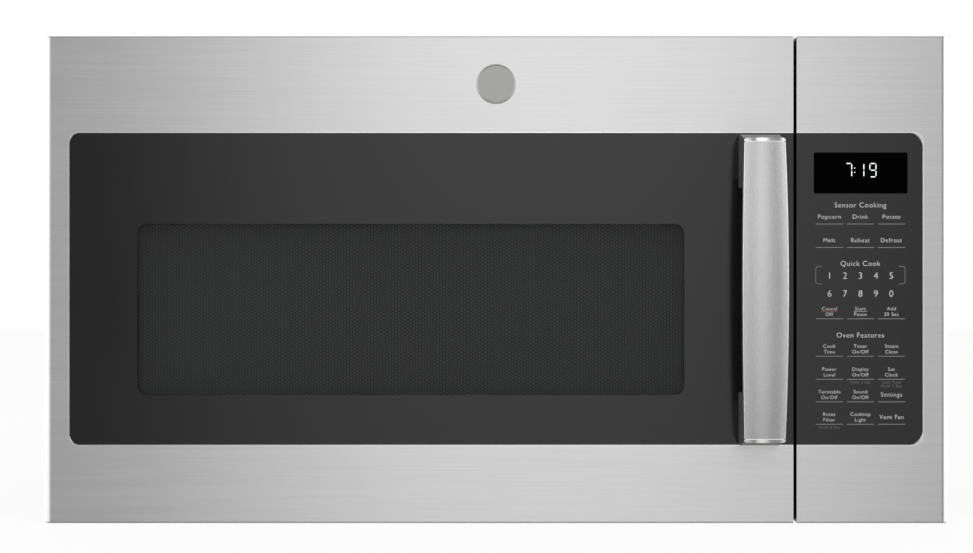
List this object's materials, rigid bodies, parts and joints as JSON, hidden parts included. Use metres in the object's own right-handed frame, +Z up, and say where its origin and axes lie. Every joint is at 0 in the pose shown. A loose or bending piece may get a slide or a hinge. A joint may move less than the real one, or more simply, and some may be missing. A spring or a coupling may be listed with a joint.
{
  "type": "over the range microwave",
  "caption": "Over-the-range microwave with a side-hinged glass door, bowed handle, touch panel, turntable, vent blower and grease filters.",
  "frame": {"origin": "centre of the casing's underside", "axes": "+X to the right of a person facing the door, -Y the front, +Z up"},
  "size_m": [0.759, 0.4466, 0.4145],
  "materials": {
    "case_paint": "black powder coat",
    "galvanised": "zinc-coated sheet",
    "plate_paint": "grey powder coat",
    "cavity_enamel": "light grey enamel",
    "black_plastic": "fine-textured black",
    "charcoal": "carbon granules in a grey frame",
    "zinc": "bright zinc",
    "mica": "pressed mica",
    "aluminium": "mill finish",
    "core_steel": "varnished laminations and copper coils",
    "motor_steel": "zinc-plated can",
    "white_plastic": "natural white nylon",
    "clear_plastic": "clear plastic",
    "stainless": "brushed horizontally",
    "black_glass": "dark printed glass",
    "board_green": "circuit board",
    "grey_plastic": "grey moulding",
    "screen_steel": "black-coated perforated steel",
    "clear_glass": "clear glass",
    "spring_steel": "spring wire",
    "handle_steel": "brushed, bright edges",
    "polished": "polished"
  },
  "bodies": {
    "casing": {"outer_wrap": "case_paint", "base_plate": "galvanised", "rear_panel": "galvanised", "wall_plate": "plate_paint", "front_frame": "cavity_enamel", "oven_cavity": "cavity_enamel", "exhaust_flange": "galvanised", "top_vent_grille": "black_plastic", "charcoal_filter": "charcoal", "cord_bushing": "black_plastic", "hinge_lower": "zinc", "hinge_upper": "zinc", "casing_screws": "zinc", "waveguide": "galvanised", "waveguide_cover": "mica", "magnetron": "aluminium", "hv_transformer": "core_steel", "hv_capacitor": "aluminium", "hv_diode": "black_plastic", "turntable_motor": "motor_steel", "cavity_lamp": "white_plastic", "cavity_lamp_cover": "clear_plastic", "cooktop_lamps": "white_plastic", "cooktop_lamp_covers": "clear_plastic", "thermal_cutouts": "black_plastic", "humidity_sensor": "black_plastic", "cooling_fan_motor": "motor_steel", "blower_housing": "galvanised", "blower_motor": "motor_steel", "control_frame": "black_plastic", "control_skin": "stainless", "control_glass": "black_glass", "display_module": "black_plastic", "control_board": "board_green", "latch_board": "grey_plastic", "interlock_switches": "white_plastic"},
    "door": {"door_skin": "stainless", "door_glass": "black_glass", "door_frame": "black_plastic", "window_screen": "screen_steel", "door_choke": "cavity_enamel", "choke_cover": "grey_plastic", "inner_window": "clear_glass", "door_bushes": "white_plastic", "latch_spring": "spring_steel", "handle_bar": "handle_steel", "handle_posts": "black_plastic", "handle_caps": "polished", "handle_screws": "zinc"},
    "door_latch": {"latch_hooks": "grey_plastic"},
    "turntable_drive": {"turntable_coupler": "white_plastic"},
    "turntable_tray": {"glass_tray": "clear_glass"},
    "roller_ring": {"roller_ring": "white_plastic"},
    "roller_1": {"roller_wheel_1": "white_plastic"},
    "roller_2": {"roller_wheel_2": "white_plastic"},
    "roller_3": {"roller_wheel_3": "white_plastic"},
    "vent_blower": {"blower_wheels": "galvanised"},
    "cooling_fan": {"fan_blade": "grey_plastic"},
    "filter_left": {"grease_filter_left": "aluminium"},
    "filter_right": {"grease_filter_right": "aluminium"}
  },
  "joints": [
    {"name": "door_swing", "type": "hinge", "parent": "casing", "child": "door", "pos_m": [-0.3705, -0.189, 0.205], "axis": [0, 0, -1], "range_deg": [0, 95]},
    {"name": "latch_slide", "type": "slide", "parent": "door", "child": "door_latch", "axis": [0, 0, 1], "range_m": [0, 0.004], "stiffness_N_per_m": 400, "springref_m": -0.002, "deforming": ["latch_spring"]},
    {"name": "turntable_spin", "type": "hinge", "parent": "casing", "child": "turntable_drive", "pos_m": [-0.0715, -0.0035, 0.055], "axis": [0, 0, 1], "continuous": true},
    {"name": "tray_lift", "type": "slide", "parent": "turntable_drive", "child": "turntable_tray", "axis": [0, 0, 1], "range_m": [0, 0.03]},
    {"name": "ring_spin", "type": "hinge", "parent": "casing", "child": "roller_ring", "pos_m": [-0.0715, -0.0035, 0.0583], "axis": [0, 0, 1], "continuous": true},
    {"name": "roller_1_spin", "type": "hinge", "parent": "roller_ring", "child": "roller_1", "pos_m": [-0.0715, 0.1015, 0.0583], "axis": [0, 1, 0], "continuous": true},
    {"name": "roller_2_spin", "type": "hinge", "parent": "roller_ring", "child": "roller_2", "pos_m": [-0.16243, -0.056, 0.0583], "axis": [-0.866, -0.5, 0], "continuous": true},
    {"name": "roller_3_spin", "type": "hinge", "parent": "roller_ring", "child": "roller_3", "pos_m": [0.01943, -0.056, 0.0583], "axis": [0.866, -0.5, 0], "continuous": true},
    {"name": "vent_blower_spin", "type": "hinge", "parent": "casing", "child": "vent_blower", "pos_m": [0, 0.105, 0.358], "axis": [1, 0, 0], "continuous": true},
    {"name": "cooling_fan_spin", "type": "hinge", "parent": "casing", "child": "cooling_fan", "pos_m": [0.305, 0.066, 0.225], "axis": [0, 1, 0], "continuous": true},
    {"name": "filter_left_tilt", "type": "hinge", "parent": "casing", "child": "filter_left", "pos_m": [-0.19, 0.1235, 0.0003], "axis": [1, 0, 0], "range_deg": [0, 40]},
    {"name": "filter_right_tilt", "type": "hinge", "parent": "casing", "child": "filter_right", "pos_m": [0.19, 0.1235, 0.0003], "axis": [1, 0, 0], "range_deg": [0, 40]}
  ],
  "couplings": [
    {"joint": "ring_spin", "follows": "turntable_spin", "ratio": 0.5},
    {"joint": "roller_1_spin", "follows": "turntable_spin", "ratio": -6.5625},
    {"joint": "roller_2_spin", "follows": "turntable_spin", "ratio": -6.5625},
    {"joint": "roller_3_spin", "follows": "turntable_spin", "ratio": -6.5625}
  ]
}
